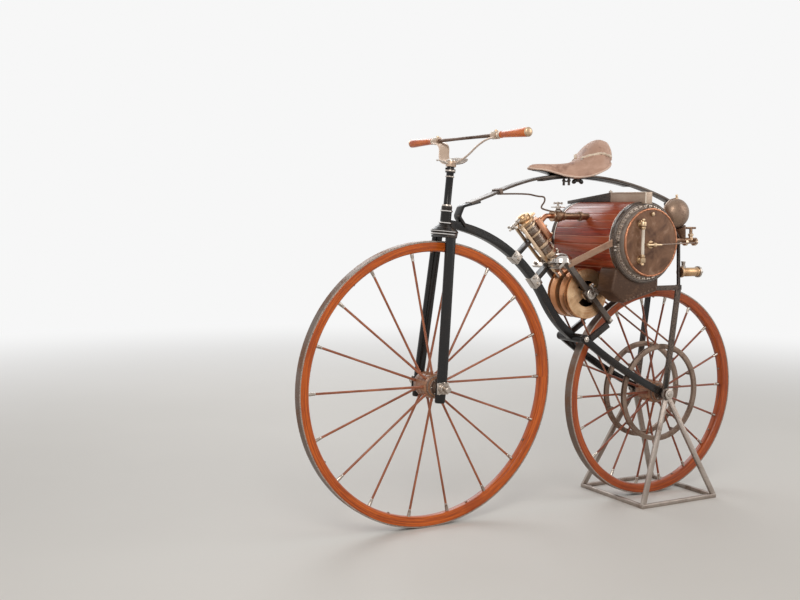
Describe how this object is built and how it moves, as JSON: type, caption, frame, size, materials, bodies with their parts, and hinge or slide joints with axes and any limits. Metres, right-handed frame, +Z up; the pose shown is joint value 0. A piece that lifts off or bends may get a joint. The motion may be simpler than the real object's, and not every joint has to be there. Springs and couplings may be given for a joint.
{
  "type": "steam velocipede",
  "caption": "Two wooden wheels in line under an iron backbone, with a transverse lagged boiler, inclined steam engine, belt drive, sprung saddle and iron stand.",
  "frame": {"origin": "on the floor under the middle of the whole machine", "axes": "+X forward, +Y to the rider's left, +Z up"},
  "size_m": [1.8419, 0.728, 1.32],
  "materials": {
    "iron_tyre": "rolled iron, rubbed and brown",
    "rim_wood": "oiled orange-brown ash",
    "spoke_wood": "dark red-brown varnish",
    "hub_wood": "turned and oiled",
    "black_iron": "worn black paint",
    "bright_steel": "bright, filed",
    "brown_steel": "brown patina",
    "brass": "rubbed brass",
    "copper": "dull copper",
    "lagging": "red-brown slats",
    "boiler_metal": "grey-brown plate",
    "casing": "heat-browned sheet",
    "tray": "tan paint, black to the right",
    "belt": "round leather cord",
    "saddle": "pale worn hide",
    "grip_wood": "turned and polished",
    "ring": "grey-brown iron",
    "stand": "plain dull steel",
    "glass": "gauge fittings"
  },
  "bodies": {
    "frame": {"backbone": "black_iron", "rear_fork_left": "black_iron", "rear_fork_right": "black_iron", "rear_axle": "bright_steel", "strut_left": "black_iron", "strut_right": "black_iron", "stand_base": "stand", "stand_legs_left": "stand", "stand_legs_right": "stand", "spring": "black_iron", "spring_fittings": "black_iron", "saddle": "saddle", "boiler_barrel": "lagging", "boiler_ends": "boiler_metal", "firebox_left": "casing", "firebox_right": "casing", "firebox_bridge": "casing", "top_tray": "tray", "water_gauge": "glass", "pressure_gauge": "boiler_metal", "feed_valve": "copper", "feed_pump": "bright_steel", "boiler_stays": "brown_steel", "engine_rail_left": "brown_steel", "engine_rail_right": "brown_steel", "cross_plate": "bright_steel", "cylinder": "bright_steel", "cylinder_head": "brass", "piston_rod": "bright_steel", "engine_brackets": "black_iron", "steam_valve": "brass", "steam_pipe": "copper", "throttle_rod": "copper", "belt_left": "belt", "belt_right": "belt"},
    "fork": {"fork_crown": "black_iron", "fork_leg_left": "black_iron", "fork_leg_right": "black_iron", "steering_column": "black_iron", "handlebar_arms": "bright_steel", "handlebar": "bright_steel", "grips": "grip_wood"},
    "front_wheel": {"front_tyre": "iron_tyre", "front_rim": "rim_wood", "front_spokes": "spoke_wood", "front_hub": "hub_wood", "front_axle": "brown_steel"},
    "rear_wheel": {"rear_tyre": "iron_tyre", "rear_rim": "rim_wood", "rear_spokes": "spoke_wood", "rear_hub": "hub_wood", "drive_rings": "ring"},
    "crank": {"flywheels": "brass", "crankshaft": "bright_steel"}
  },
  "joints": [
    {"name": "steering", "type": "hinge", "parent": "frame", "child": "fork", "pos_m": [0.441, 0, 0.48], "axis": [-0.0958, 0, 0.9954], "range_deg": [-45, 45]},
    {"name": "front_wheel_spin", "type": "hinge", "parent": "fork", "child": "front_wheel", "pos_m": [0.441, 0, 0.48], "axis": [0, 1, 0], "continuous": true},
    {"name": "rear_wheel_spin", "type": "hinge", "parent": "frame", "child": "rear_wheel", "pos_m": [-0.529, 0, 0.392], "axis": [0, 1, 0], "continuous": true},
    {"name": "crank_spin", "type": "hinge", "parent": "frame", "child": "crank", "pos_m": [-0.16803, 0, 0.77197], "axis": [0, 1, 0], "continuous": true}
  ],
  "couplings": [
    {"joint": "crank_spin", "follows": "rear_wheel_spin", "ratio": 3.069}
  ]
}
